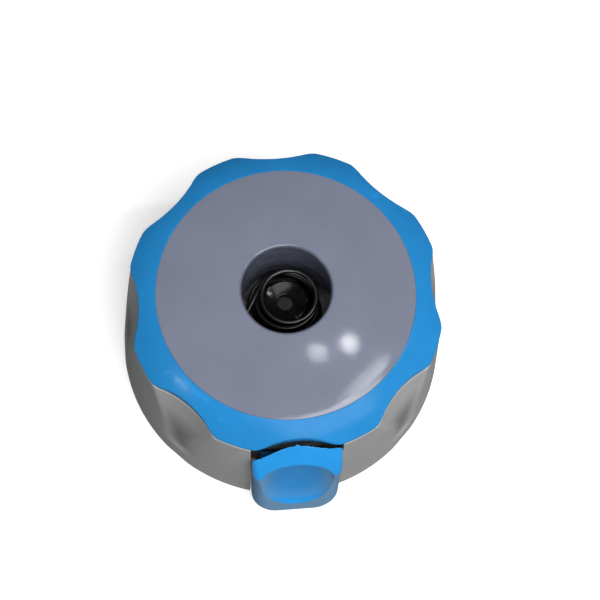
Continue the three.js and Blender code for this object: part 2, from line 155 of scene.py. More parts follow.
def fillet(points, radii, steps=5):
    """A closed outline with each corner rounded by its own radius; 0 leaves it sharp."""
    result = []
    count = len(points)
    for i, radius in enumerate(radii):
        corner = np.array(points[i], float)
        if not radius:
            result.append(tuple(corner))
            continue
        back = np.array(points[i - 1], float) - corner
        ahead = np.array(points[(i + 1) % count], float) - corner
        reach_back, reach_ahead = np.linalg.norm(back), np.linalg.norm(ahead)
        back, ahead = back / reach_back, ahead / reach_ahead
        half = math.acos(float(np.clip(back @ ahead, -1, 1))) / 2
        if half > math.pi / 2 - NEARLY_STRAIGHT:
            result.append(tuple(corner))
            continue
        trim = min(radius / math.tan(half), EDGE_SHARE * reach_back, EDGE_SHARE * reach_ahead)
        radius = trim * math.tan(half)
        bisector = (back + ahead) / np.linalg.norm(back + ahead)
        centre = corner + bisector * radius / math.sin(half)
        start, end = corner + back * trim - centre, corner + ahead * trim - centre
        from_angle = math.atan2(start[1], start[0])
        sweep = (math.atan2(end[1], end[0]) - from_angle + math.pi) % (2 * math.pi) - math.pi
        for k in range(steps + 1):
            angle = from_angle + sweep * k / steps
            result.append((centre[0] + radius * math.cos(angle), centre[1] + radius * math.sin(angle)))
    return result


# ---------------------------------------------------------------- mesh helpers
def new_object(name, mesh):
    obj = bpy.data.objects.new(name, mesh)
    bpy.context.scene.collection.objects.link(obj)
    return obj


def mesh_from(name, vertices, faces):
    """An object from millimetre vertices, placed about the dial axis, faces turned outwards."""
    mesh = bpy.data.meshes.new(name)
    mesh.from_pydata((np.asarray(vertices, float) * MM + np.array(AXIS)).tolist(), [], faces)
    mesh.validate()
    turn_out(mesh)
    return new_object(name, mesh)


def turn_out(mesh):
    bm = bmesh.new()
    bm.from_mesh(mesh)
    bmesh.ops.remove_doubles(bm, verts=bm.verts, dist=1e-7)
    bmesh.ops.recalc_face_normals(bm, faces=bm.faces)
    if bm.calc_volume(signed=True) < 0:
        bmesh.ops.reverse_faces(bm, faces=bm.faces)
    bm.to_mesh(mesh)
    bm.free()


def grid_faces(rows, columns):
    """Quads of a grid that closes on itself both ways."""
    faces = []
    for i in range(rows):
        for j in range(columns):
            a, b = i * columns + j, i * columns + (j + 1) % columns
            c, d = ((i + 1) % rows) * columns + (j + 1) % columns, ((i + 1) % rows) * columns + j
            faces.append((a, b, c, d))
    return faces


def revolve(name, outline, segments=144, warp=None):
    """Turns a closed (radius, height) outline about the axis; warp(angle, r, z) gives another radius."""
    angle = np.linspace(0, 2 * math.pi, segments, endpoint=False)[:, None]
    r = np.array([p[0] for p in outline])[None, :] * np.ones_like(angle)
    z = np.array([p[1] for p in outline])[None, :] * np.ones_like(angle)
    if warp:
        r = warp(angle * np.ones_like(r), r, z)
    vertices = np.stack([r * np.cos(angle), r * np.sin(angle), z], -1).reshape(-1, 3)
    return mesh_from(name, vertices, grid_faces(segments, len(outline)))


def sweep(name, outlines):
    """Closed (radius, height) outlines of one count of points, one for each step about the axis."""
    vertices = []
    for i, outline in enumerate(outlines):
        angle = 2 * math.pi * i / len(outlines)
        vertices += [(r * math.cos(angle), r * math.sin(angle), z) for r, z in outline]
    return mesh_from(name, vertices, grid_faces(len(outlines), len(outlines[0])))


def prism(name, outline, low_z, high_z, plane="xy"):
    """A closed outline raised between two heights. Plane xz raises along Y, and yz along X."""
    count = len(outline)
    flat = np.array(outline, float)
    vertices = []
    for level in (low_z, high_z):
        for a, b in flat:
            vertices.append({"xy": (a, b, level), "xz": (a, level, b), "yz": (level, a, b)}[plane])
    faces = [tuple(range(count)), tuple(range(count, 2 * count))]
    faces += [(i, (i + 1) % count, (i + 1) % count + count, i + count) for i in range(count)]
    return mesh_from(name, vertices, faces)


def loft(name, sections, levels):
    """Closed outlines of one count of points, stacked at rising heights and capped at both ends."""
    count = len(sections[0])
    vertices = [(x, y, z) for outline, z in zip(sections, levels) for x, y in outline]
    faces = [tuple(range(count)), tuple(range(len(vertices) - count, len(vertices)))]
    for i in range(len(sections) - 1):
        for j in range(count):
            a, b = i * count + j, i * count + (j + 1) % count
            faces.append((a, b, b + count, a + count))
    return mesh_from(name, vertices, faces)


def block(name, xs, ys, zs):
    corners = [(xs[0], ys[0]), (xs[1], ys[0]), (xs[1], ys[1]), (xs[0], ys[1])]
    return prism(name, corners, *zs)


def circle(radius, x=0.0, y=0.0, sides=32):
    turns = [2 * math.pi * i / sides for i in range(sides)]
    return [(x + radius * math.cos(t), y + radius * math.sin(t)) for t in turns]


def settle(obj):
    """Applies the object's modifiers to its mesh."""
    bpy.context.view_layer.update()
    graph = bpy.context.evaluated_depsgraph_get()
    mesh = bpy.data.meshes.new_from_object(obj.evaluated_get(graph))
    old = obj.data
    obj.modifiers.clear()
    obj.data = mesh
    bpy.data.meshes.remove(old)
    mesh.name = obj.name


def combine(obj, tool, operation):
    """Joins or cuts with another solid, which is used up."""
    boolean = obj.modifiers.new(operation, "BOOLEAN")
    boolean.operation = operation
    boolean.solver = "MANIFOLD"
    boolean.object = tool
    settle(obj)
    used = tool.data
    bpy.data.objects.remove(tool)
    bpy.data.meshes.remove(used)


def add_all(obj, tools):
    for tool in tools:
        combine(obj, tool, "UNION")


def cut_all(obj, tools):
    for tool in tools:
        combine(obj, tool, "DIFFERENCE")


def bevel(obj, width, segments, angle):
    """Adds a bevel modifier on the edges sharper than an angle."""
    modifier = obj.modifiers.new("Bevel", "BEVEL")
    modifier.width = width * MM
    modifier.segments = segments
    modifier.limit_method = "ANGLE"
    modifier.angle_limit = math.radians(angle)
    return modifier


def soften(obj, voxel, rounds):
    """Remeshes a crisp solid finely and rounds its edges, as a moulded part's are."""
    remesh = obj.modifiers.new("Remesh", "REMESH")
    remesh.mode = "VOXEL"
    remesh.voxel_size = voxel * MM
    smooth = obj.modifiers.new("Smooth", "SMOOTH")
    smooth.factor = 0.5
    smooth.iterations = rounds
    settle(obj)


def shade(obj, angle=40):
    mesh = obj.data
    mesh.polygons.foreach_set("use_smooth", [True] * len(mesh.polygons))
    mesh.set_sharp_from_angle(angle=math.radians(angle))


def finish_piece(obj, material, slot, body, *nodes, smooth_angle=40):
    shade(obj, smooth_angle)
    obj.data.materials.clear()
    obj.data.materials.append(material)
    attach(obj, body)
    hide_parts(*nodes)


# ---------------------------------------------------------------- materials
class Nodes:
    """A small writer for one material's node tree."""

    def __init__(self, name):
        self.material = bpy.data.materials.new(name)
        self.material.use_nodes = True
        self.tree = self.material.node_tree
        self.shader = self.tree.nodes["Principled BSDF"]
        self.place = self.add("ShaderNodeTexCoord").outputs["Object"]

    def add(self, kind, **values):
        node = self.tree.nodes.new(kind)
        for key, value in values.items():
            if hasattr(node, key):
                setattr(node, key, value)
            else:
                node.inputs[key.replace("_", " ")].default_value = value
        return node

    def link(self, source, target):
        self.tree.links.new(source, target)

    def noise(self, size_mm, detail=3.0, roughness=0.55, stretch=None):
        """Noise whose grain is about size_mm across."""
        node = self.add("ShaderNodeTexNoise", Scale=1 / (size_mm * MM), Detail=detail, Roughness=roughness)
        place = self.place
        if stretch:
            mapping = self.add("ShaderNodeMapping", Scale=stretch)
            self.link(place, mapping.inputs["Vector"])
            place = mapping.outputs["Vector"]
        self.link(place, node.inputs["Vector"])
        return node.outputs["Fac"]

    def parts(self, vector):
        """The three parts of a vector."""
        node = self.add("ShaderNodeSeparateXYZ")
        self.link(vector, node.inputs["Vector"])
        return node.outputs

    def axis_distance(self):
        """Distance from the dial axis, and height."""
        shift = self.add("ShaderNodeVectorMath", operation="SUBTRACT")
        shift.inputs[1].default_value = (AXIS.x, AXIS.y, 0)
        self.link(self.place, shift.inputs[0])
        x, y, z = self.parts(shift.outputs["Vector"])
        square = self.maths("ADD", self.maths("MULTIPLY", x, x), self.maths("MULTIPLY", y, y))
        return self.maths("SQRT", square, 0.0), z

    def ramp(self, source, low_in, high_in, low_out, high_out):
        node = self.add("ShaderNodeMapRange")
        limits = {"From Min": low_in, "From Max": high_in, "To Min": low_out, "To Max": high_out}
        for key, value in limits.items():
            node.inputs[key].default_value = value
        self.link(source, node.inputs["Value"])
        return node.outputs["Result"]

    def varied(self, noise, low_out, high_out):
        """Noise spread over a range."""
        return self.ramp(noise, 0.3, 0.7, low_out, high_out)

    def mix(self, factor, first, second):
        node = self.add("ShaderNodeMix", data_type="RGBA")
        for value, socket in ((factor, node.inputs[0]), (first, node.inputs[6]), (second, node.inputs[7])):
            if isinstance(value, bpy.types.NodeSocket):
                self.link(value, socket)
            elif isinstance(value, (int, float)):
                socket.default_value = value
            else:
                socket.default_value = (*value, 1)
        return node.outputs[2]

    def maths(self, operation, first, second):
        node = self.add("ShaderNodeMath", operation=operation)
        for value, socket in zip((first, second), node.inputs):
            if isinstance(value, bpy.types.NodeSocket):
                self.link(value, socket)
            else:
                socket.default_value = value
        return node.outputs[0]

    def bump(self, layers):
        """Stacks (height, depth in mm) layers of relief."""
        normal = None
        for height, depth in layers:
            node = self.add("ShaderNodeBump", Strength=1.0, Distance=depth * MM)
            self.link(height, node.inputs["Height"])
            if normal:
                self.link(normal, node.inputs["Normal"])
            normal = node.outputs["Normal"]
        self.link(normal, self.shader.inputs["Normal"])

    def set(self, **values):
        for key, value in values.items():
            socket = self.shader.inputs[key.replace("_", " ")]
            if isinstance(value, bpy.types.NodeSocket):
                self.link(value, socket)
            elif isinstance(value, (int, float)):
                socket.default_value = value
            else:
                socket.default_value = (*value, 1)


def linear(*srgb):
    """A linear colour from 0 to 255 screen values."""
    return tuple(((v / 255 + 0.055) / 1.055) ** 2.4 if v > 10 else v / 255 / 12.92 for v in srgb)


def shaded(colour, factor):
    return tuple(min(1.0, c * factor) for c in colour)


def edge_wear(n, low_in=0.52, high_in=0.62):
    """Where an edge stands proud, from 0 to 1."""
    return n.ramp(n.add("ShaderNodeNewGeometry").outputs["Pointiness"], low_in, high_in, 0, 1)


def clouded(n, colour, size_mm, spread):
    """A colour with broad, faint clouds in it."""
    return n.mix(n.varied(n.noise(size_mm, 4), 0, 1), shaded(colour, 1 - spread), shaded(colour, 1 + spread))


def specked(n, tone, colour):
    """Small dark specks over a tone."""
    return n.mix(n.ramp(n.noise(0.35, 2), 0.62, 0.75, 0, 0.25), tone, shaded(colour, 0.82))


def worn(n, tone, bare, amount):
    """Another colour where an edge is rubbed."""
    return n.mix(n.maths("MULTIPLY", edge_wear(n), amount), tone, bare)


def flow_marks(n):
    """Faint upright waves that moulding leaves."""
    return n.noise(4.5, 2, 0.4, (1, 1, 0.35))


def blue_plastic():
    """The ring's smooth blue plastic, with handling smudges and paler edges."""
    n = Nodes("blue_plastic")
    colour = linear(40, 136, 202)
    tone = specked(n, clouded(n, colour, 7, 0.06), colour)
    tone = worn(n, tone, shaded(colour, 1.35), 0.4)
    n.set(Base_Color=tone, Roughness=n.varied(n.noise(3.2, 5, 0.65), 0.14, 0.27))
    n.set(IOR=1.49, Specular_IOR_Level=0.1)
    n.bump([(flow_marks(n), 0.02), (n.noise(0.25, 2, 0.5), 0.003)])
    return n.material


def recess_shade(n):
    """Painted shade in a finger recess: 0 on the skirt, growing to 1 low in the recess, with a crisp lower
    edge.
    """
    reach, height = n.axis_distance()
    slope = (LOBE_R - BASE_R) / SKIRT_TOP
    skirt_line = n.maths("ADD", n.maths("MULTIPLY", height, slope), BASE_R * MM)
    depth = n.maths("SUBTRACT", skirt_line, reach)
    inside = n.ramp(depth, 0.2 * MM, 0.5 * MM, 0, 1)
    fall = n.ramp(height, 18 * MM, 11 * MM, 0.1, 1)
    return n.maths("MULTIPLY", inside, fall)


def grey_plastic():
    """The skirt's grey plastic, painted a shade darker low in the recesses, where shade falls."""
    n = Nodes("grey_plastic")
    colour = linear(182, 183, 182)
    tone = specked(n, clouded(n, colour, 7, 0.06), colour)
    tone = worn(n, tone, shaded(colour, 1.3), 0.06)
    # painted shade: the skirt is darkened low in the finger recesses, where shade falls
    oil = n.maths("MULTIPLY", recess_shade(n), n.varied(n.noise(3, 4), 0.8, 1))
    tone = n.mix(oil, tone, shaded(colour, 0.36))
    n.set(Base_Color=tone, Roughness=n.varied(n.noise(3.2, 5, 0.65), 0.42, 0.54), IOR=1.49)
    n.bump([(flow_marks(n), 0.02), (n.noise(0.3, 2, 0.5), 0.02)])
    return n.material


def cap_plastic():
    """The cap's grey plastic, with painted shade down inside its hole and pale flecks as painted sparkle."""
    n = Nodes("cap_plastic")
    colour = linear(124, 129, 147)
    tone = clouded(n, colour, 8, 0.05)
    # painted sparkle: pale flecks stand in for glints on the cap
    painted_sparkle = n.noise(0.22, 2)
    tone = n.mix(n.ramp(painted_sparkle, 0.6, 0.72, 0, 0.35), tone, shaded(colour, 1.4))
    # painted shade: darker down inside the hole, where shade falls
    reach, height = n.axis_distance()
    inside = n.ramp(reach, (HOLE_R + 0.1) * MM, (HOLE_R + 0.5) * MM, 1, 0)
    hole_painted_shade = n.maths("MULTIPLY", inside, n.ramp(n.noise(1.6, 4), 0.25, 0.6, 0.85, 1))
    tone = n.mix(hole_painted_shade, tone, linear(84, 88, 102))
    grain = n.noise(0.55, 3, 0.7)
    ripple = n.noise(2.2, 2)
    n.set(Base_Color=tone, Roughness=n.varied(n.noise(2.6, 5), 0.07, 0.1), IOR=1.49)
    n.bump([(ripple, 0.003), (grain, 0.008)])
    return n.material


def tab_plastic():
    """The tab's blue plastic, greyer and duller on its upright faces but not inside its hollow; the grey is a
    painted reflection of a pale surround.
    """
    n = Nodes("tab_plastic")
    colour, reflection_grey = linear(42, 152, 228), linear(126, 166, 200)
    facing = n.parts(n.add("ShaderNodeNewGeometry").outputs["Normal"])
    upright = n.ramp(facing[2], 0.15, 0.5, 1, 0)
    place = n.parts(n.place)
    across = n.maths("DIVIDE", place[0], DISH_HALF[0] * MM)
    along = n.maths("DIVIDE", n.maths("SUBTRACT", place[2], DISH_HEIGHT * MM), DISH_HALF[1] * MM)
    square = n.maths("ADD", n.maths("MULTIPLY", across, across), n.maths("MULTIPLY", along, along))
    outside = n.ramp(square, 0.3, 0.95, 0.12, 1)
    # painted reflection: upright faces outside the hollow are greyed as if reflecting a pale surround, and
    # made rougher
    rubbed = n.maths("MULTIPLY", upright, outside)
    rubbed = n.maths("MULTIPLY", rubbed, n.varied(n.noise(2.4, 4), 0.8, 1))
    tone = n.mix(rubbed, clouded(n, colour, 7, 0.06), reflection_grey)
    tone = worn(n, tone, shaded(colour, 1.3), 0.3)
    n.set(Base_Color=tone, Roughness=n.ramp(rubbed, 0, 1, 0.34, 0.5), IOR=1.49, Specular_IOR_Level=0.25)
    n.bump([(n.noise(0.22, 2, 0.5), 0.014)])
    return n.material


def ground_steel(name, colour, roughness, stretch, stain=0.3):
    """Ground or plated steel: fine tool marks one way, thin oil stains and bright edges."""
    n = Nodes(name)
    marks = n.noise(0.12, 3, 0.6, stretch)
    stains = n.noise(3.5, 5, 0.6)
    tone = n.mix(n.varied(marks, 0, 1), shaded(colour, 0.85), shaded(colour, 1.1))
    tone = n.mix(n.ramp(stains, 0.55, 0.75, 0, stain), tone, shaded(colour, 0.45))
    tone = worn(n, tone, shaded(colour, 1.4), 0.6)
    n.set(Base_Color=tone, Metallic=1.0, Roughness=n.varied(stains, roughness - 0.05, roughness + 0.1))
    n.bump([(marks, 0.004)])
    return n.material


def black_oxide():
    """Black oxide steel under a thin oil film, worn to bare metal on its edges."""
    n = Nodes("black_oxide")
    colour = linear(16, 16, 18)
    film = n.noise(1.2, 4)
    tone = n.mix(n.varied(film, 0, 1), shaded(colour, 0.5), shaded(colour, 1.5))
    tone = n.mix(n.maths("MULTIPLY", edge_wear(n, 0.53, 0.66), 0.7), tone, linear(120, 120, 124))
    n.set(Base_Color=tone, Metallic=0.3, Roughness=n.varied(film, 0.12, 0.24), Specular_IOR_Level=0.2)
    n.bump([(n.noise(0.2, 3), 0.004)])
    return n.material


GREY = grey_plastic()
CAP = cap_plastic()
BLUE = blue_plastic()
TAB_BLUE = tab_plastic()
STEEL = ground_steel("ground_steel", (0.58, 0.59, 0.61), 0.3, (1, 0.06, 1))
ZINC = ground_steel("zinc_steel", (0.68, 0.70, 0.72), 0.26, (0.4, 0.4, 1), 0.2)
WIRE = ground_steel("spring_wire", (0.055, 0.055, 0.057), 0.34, (0.3, 0.3, 0.3), 0.4)
BLACK = black_oxide()


# ---------------------------------------------------------------- the bezel ring
RING_STEP = 0.4
RING_INSET = 0.35
RING_SWELL = 0.08
RING_BLEND = 0.8
FACE_POINTS = 12


def ring_height(r):
    """Height of the ring's sloping face, which the scallops cut through."""
    t = (LOBE_R - r) / (LOBE_R - RING_IN)
    shoulder = RING_BOTTOM + RING_EDGE
    return shoulder + (RING_TOP - shoulder) * (t + RING_SWELL * np.sin(math.pi * t))


def ring_outline(edge):
    """The ring's section where its edge is at a radius; a step below the edge shades its foot."""
    step, inset = RING_BOTTOM + RING_STEP, edge - RING_INSET
    face = [(r, float(ring_height(r))) for r in np.linspace(edge, RING_IN, FACE_POINTS)]
    points = [(RING_IN, RING_BOTTOM), (inset, RING_BOTTOM), (inset, step), (edge, step), *face]
    return fillet(points, [0.1, 0.05, 0.05, 0.08, 0.16, *[0] * (FACE_POINTS - 2), 0.04], 4)


def bezel_ring():
    angles = np.linspace(0, 2 * math.pi, FINE_STEPS, endpoint=False)
    edges = scalloped(angles, LOBE_R, VALLEY_R, RING_BLEND)
    ring = sweep("bezel", [ring_outline(edge) for edge in edges])
    finish_piece(ring, BLUE, "blue_plastic", "dial", "bezel_ring", smooth_angle=50)


# ---------------------------------------------------------------- the domed cap
SEAM = 0.02
CAP_WALL = 1.8
TUBE_WALL = 1.3
TUBE_ROOT = 2.4
HOLE_ROUND = 1.1
CROWN_POINTS = 14
LEG_ANGLES = (30, 150, 270)
LEG_THICK = 1.5
LEG_HALF = 2.5
HOOK = 0.9
HOOK_HEIGHT = 1.2
LEG_TOP = SKIRT_TOP + 2.9


def face_cap():
    edge = RING_IN - SEAM
    crown = [(r, dome_height(r)) for r in np.linspace(edge, HOLE_R + HOLE_ROUND, CROWN_POINTS)]
    tube_r = HOLE_R + TUBE_WALL
    skirt_in = LEDGE_R + 0.4
    points = [
        (HOLE_R, TUBE_BOTTOM), (tube_r, TUBE_BOTTOM), (tube_r, dome_height(tube_r) - TUBE_ROOT),
        (skirt_in, dome_height(skirt_in) - CAP_WALL), (skirt_in, RING_BOTTOM), (edge, RING_BOTTOM),
        *crown, (HOLE_R, dome_height(HOLE_R) + 0.02),
    ]
    radii = [0.2, 0.2, 0.6, 0.4, 0.1, 0.1, 0.04, *[0] * (CROWN_POINTS - 1), 0.95]
    cap = revolve("cap", fillet(points, radii, 8), 240)
    add_all(cap, [snap_leg(angle) for angle in LEG_ANGLES])
    finish_piece(cap, CAP, "cap_plastic", "dial", "face_cap")


def snap_leg(angle):
    """A springy leg under the cap whose hook holds below the dial body's ledge."""
    outer = LEDGE_R - GAP
    inner, tip = outer - LEG_THICK, outer + HOOK
    hook = SKIRT_TOP - LEDGE - 2.5 * GAP
    toe = hook - HOOK_HEIGHT
    outline = [
        (inner, toe), (outer - 0.2, toe), (tip, hook - 0.3), (tip, hook), (outer, hook), (outer, LEG_TOP),
        (inner, LEG_TOP),
    ]
    leg = prism("leg", outline, -LEG_HALF, LEG_HALF, "xz")
    spin(leg, angle)
    return leg


def spin(obj, degrees):
    """Turns a mesh about the dial axis."""
    turn = Matrix.Rotation(math.radians(degrees), 4, "Z")
    obj.data.transform(Matrix.Translation(AXIS) @ turn @ Matrix.Translation(-AXIS))


# ---------------------------------------------------------------- the dial body
WEB_BOTTOM = 8.0
WEB_TOP = 10.2
WEB_REACH = (21.8, 21.2)  # at its underside and at its top
BOSS_TOP = 13.6
BOSS_R = 7.2
INNER_BASE = 22.6
INNER_TOP = 19.6
SLIDE_LOW = low("lock_slide")
SLIDE_THICK = 1.5
SLIDE_HIGH = SLIDE_LOW + SLIDE_THICK
WINDOW_GAP = 0.22
WINDOW_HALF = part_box("lock_tab")[1].x / MM + WINDOW_GAP
WINDOW_IN = 20.4
WALL_POINTS = 48
GUIDE_WALL = 1.4
GUIDE_HALF = 9
PAD_IN = 9.3
DRIVER = (5.5, 6.9)
DRIVER_HALF = 2.6
SPRING_WALL = (19.2, 21.6)
SPRING_WALL_HALF = 7
POST_R = 2.2
POST_HOLE_R = 1.4
FOLLOWER_TOP = 7.7


def skirt_warp(angle, r, z):
    """Moves the wall's outermost millimetre to the recessed outline and leaves the inside round."""
    offset = r - skirt_radius(z)
    return np.where(r > skirt_radius(z) - 1.0, skirt_at(angle, z) + offset, r)


def skirt():
    wall = [(skirt_radius(z), z) for z in np.linspace(GAP, SKIRT_TOP, WALL_POINTS)]
    ledge = SKIRT_TOP - LEDGE
    inside = [(LEDGE_R, SKIRT_TOP), (LEDGE_R, ledge), (INNER_TOP, ledge - LEDGE_SLOPE)]
    points = [(INNER_BASE, GAP), *wall, *inside]
    radii = [0.3, 0.45, *[0] * (WALL_POINTS - 2), 0.35, 0.2, 0.2, 0.3]
    return revolve("dial_skirt", fillet(points, radii), FINE_STEPS, skirt_warp)


def web_and_boss():
    bore = outer_radius_of_sleeve() + GAP
    points = [
        (bore, WEB_BOTTOM), (WEB_REACH[0], WEB_BOTTOM), (WEB_REACH[1], WEB_TOP), (BOSS_R, WEB_TOP),
        (BOSS_R, BOSS_TOP), (bore, BOSS_TOP),
    ]
    return revolve("web", fillet(points, [0.2, 0, 0, 0.8, 0.3, 0.3]), 96)


def outer_radius_of_sleeve():
    """Radius of the sleeve's plain upper end, above its flange."""
    radius, height = around_axis("hub_sleeve")
    return float(radius[height > high("hub_sleeve") - 2].max())


def screw_places():
    """Centres of the keeper screws, about the dial axis."""
    places = []
    for i in range(4):
        lo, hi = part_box(f"keeper_screw_{i + 1}")
        middle = ((lo + hi) / 2 - AXIS) / MM
        places.append((middle.x, middle.y))
    return places


def dial_body():
    body = skirt()
    root = WEB_BOTTOM + OVERLAP
    guides = []
    guide_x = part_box("lock_slide")[1].x / MM + GAP
    for side in (-1, 1):
        wall = sorted((side * guide_x, side * (guide_x + GUIDE_WALL)))
        pad = sorted((side * PAD_IN, side * (guide_x + 0.1)))
        driver = sorted((side * DRIVER[0], side * DRIVER[1]))
        along = (-GUIDE_HALF, GUIDE_HALF)
        guides.append(block("guide", wall, along, (SLIDE_LOW, root)))
        guides.append(block("pad", pad, along, (SLIDE_HIGH + GAP, root)))
        width, heights = (-DRIVER_HALF, DRIVER_HALF), (BOSS_TOP - OVERLAP, BOSS_TOP + 1)
        guides.append(block("driver", driver, width, heights))
    guides.append(block("spring_wall", (-SPRING_WALL_HALF, SPRING_WALL_HALF), SPRING_WALL, (SLIDE_LOW, root)))
    for place in screw_places():
        guides.append(prism("post", circle(POST_R, *place), SLIDE_LOW, root))
    add_all(body, [web_and_boss(), *guides])
    holes = []
    for place in screw_places():
        holes.append(prism("hole", circle(POST_HOLE_R, *place, 24), SLIDE_LOW - BEYOND, FOLLOWER_TOP))
    sides, depth = (-WINDOW_HALF, WINDOW_HALF), (-BASE_R - 4, -WINDOW_IN)
    window = block("window", sides, depth, (-BEYOND, SKIRT_TOP + BEYOND))
    bevel(window, width=0.5, segments=3, angle=35)
    settle(window)
    cut_all(body, [*holes, window])
    finish_piece(body, GREY, "grey_plastic", "dial", "dial_body", smooth_angle=32)


# ---------------------------------------------------------------- the lock tab
TAB_FOOT = low("lock_tab")
TAB_TOP = high("lock_tab")
TAB_REACH = (AXIS.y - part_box("lock_tab")[0].y) / MM
TAB_IN = 22.5
TAB_BACK = 24.5
TAB_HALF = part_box("lock_tab")[1].x / MM
TAB_BOTTOM_CORNER = 3.6
TAB_FOOT_ROUND = 1.0
FOLLOWER_HALF = 5.2
FOLLOWER_IN = 19.8
TAB_CORNER = (0.4, 1.9)  # its front corners' rounding at the top, and how much it grows
RIVET_HOLE_R = 1.1
TAB_STEP = 5.9  # height of the step under its back
DISH_HOLLOW = 1.75
DISH_SINK = 0.3
NUB_R = 0.26
TAB_ROOT = -18.0
TOOL_HALF = 9
TOOL_FRONT = -32


def tab_level(z):
    """One level of the tab, seen from above: a flat back, and front corners that grow rounder downwards."""
    up = z - TAB_FOOT
    half = TAB_HALF + 0.15 - quarter_drop(TAB_BOTTOM_CORNER, up)
    if z > BROW[1]:
        front = -BROW[0] + (z - BROW[1]) * (BROW[0] - TAB_IN) / (TAB_TOP - BROW[1])
    else:
        front = -BROW[0] - (TAB_REACH - BROW[0]) * (BROW[1] - z) / (BROW[1] - TAB_FOOT)
        front += quarter_drop(TAB_FOOT_ROUND, up)
    down = np.clip((TAB_TOP - z) / (TAB_TOP - 12), 0, 1)
    corner = TAB_CORNER[0] + TAB_CORNER[1] * down
    outline = [(half, TAB_ROOT), (-half, TAB_ROOT)]
    for side, start in ((-1, math.pi), (1, 1.5 * math.pi)):
        for k in range(9):
            angle = start + k * math.pi / 16
            outline.append((side * (half - corner) + corner * math.cos(angle),
                            front + corner + corner * math.sin(angle)))
    return outline


def quarter_drop(radius, up):
    """How far a quarter round of a radius pulls in at a height above where it starts."""
    if up >= radius:
        return 0.0
    return radius - math.sqrt(radius**2 - (radius - up) ** 2)


def tab_plan():
    """The tab's back edge from above: a wave that follows the ring's scallop, closer on the right."""
    wave = []
    for x in np.linspace(TOOL_HALF, -TOOL_HALF, 37):
        reach = np.clip(x / TAB_HALF, -1, 1)
        drop = 0.5 - 0.2 * reach
        wave.append((x, -TAB_IN - drop * (1 - math.cos(math.pi * reach))))
    return [*wave, (-TOOL_HALF, TOOL_FRONT), (TOOL_HALF, TOOL_FRONT)]


def thumb_dish():
    """The hollow for the thumb: an upright oval dished into the front and over the brow."""
    bm = bmesh.new()
    bmesh.ops.create_uvsphere(bm, u_segments=96, v_segments=64, radius=1)
    lean = math.atan2(TAB_REACH - BROW[0], BROW[1] - TAB_FOOT)
    face = -BROW[0] - (TAB_REACH - BROW[0]) * (BROW[1] - DISH_HEIGHT) / (BROW[1] - TAB_FOOT)
    centre = Vector((0, face - DISH_SINK, DISH_HEIGHT)) * MM + AXIS
    half_sizes = Vector((DISH_HALF[0], DISH_HOLLOW, DISH_HALF[1])) * MM
    place = Matrix.LocRotScale(centre, Matrix.Rotation(-lean, 3, "X"), half_sizes)
    bmesh.ops.transform(bm, verts=bm.verts, matrix=place)
    mesh = bpy.data.meshes.new("dish")
    bm.to_mesh(mesh)
    bm.free()
    return new_object("dish", mesh)


def lock_tab():
    levels = np.linspace(TAB_FOOT, TAB_TOP + 0.4, 90)
    tab = loft("tab", [tab_level(z) for z in levels], levels)
    combine(tab, prism("plan", tab_plan(), -1, TAB_TOP), "INTERSECT")
    over = TAB_TOP + 2
    behind = [
        (-TAB_IN + 2, FOLLOWER_TOP), (-TAB_IN - 1.2, TAB_STEP), (-TAB_BACK, TAB_STEP),
        (-TAB_BACK, TAB_FOOT), (-TAB_BACK, -BEYOND), (TOOL_FRONT, -BEYOND), (TOOL_FRONT, over),
        (-TAB_IN + 2, over),
    ]
    combine(tab, prism("behind", behind, -12, 12, "yz"), "INTERSECT")
    cut_all(tab, [thumb_dish()])
    half = FOLLOWER_HALF
    depth, heights = (-TAB_BACK - 0.2, -FOLLOWER_IN), (SLIDE_HIGH + GAP, FOLLOWER_TOP)
    follower = block("follower", (-half, half), depth, heights)
    nub = prism("nub", circle(NUB_R, 0, -TAB_IN + 0.02, 16), TAB_TOP - 1.2, TAB_TOP - 0.1)
    add_all(tab, [follower, nub])
    cut_all(tab, [prism("rivet_hole", circle(RIVET_HOLE_R, *place, 24), 5, 9) for place in rivet_places()])
    soften(tab, voxel=0.13, rounds=5)
    finish_piece(tab, TAB_BLUE, "blue_plastic", "lock", "lock_tab", smooth_angle=60)


def rivet_places():
    places = []
    for i in (1, 2):
        lo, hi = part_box(f"tab_rivet_{i}")
        middle = ((lo + hi) / 2 - AXIS) / MM
        places.append((middle.x, middle.y))
    return places


# ---------------------------------------------------------------- the metal in the hole
SPRING_START = math.radians(70)
SPRING_WIRE = 0.36
SPRING_PITCH = 2.6
SPRING_TOP_R = 4.0
SPRING_CLOSED_GROWTH = 0.24  # how much wider its closed top turn ends than it starts
SPRING_GROWTH = 0.62  # how much wider each lower turn is than the one above
SPRING_LEAN = (-0.45, 1.05)  # its shift sideways at the bottom, and how far that moves by the top
STRAIGHT_START = (-3.2, 2.95, 22.1)  # where the straight end of its wire begins
STRAIGHT_STEP = (-0.19, -0.32)
STRAIGHT_POINTS = 16
SCREW_HOLE_R = 1.2
DISH_R = 7.7
SLEEVE_BORE = 2.2
SLEEVE_RIM = 0.3
END_WALL = 2
GROOVE = (0.7, 1.5)
GROOVE_DEPTH = 0.65
FLANGE_R = 6.2
FLANGE = 1
FLANGE_FLAT = 5.2
DISH_POINTS = 9


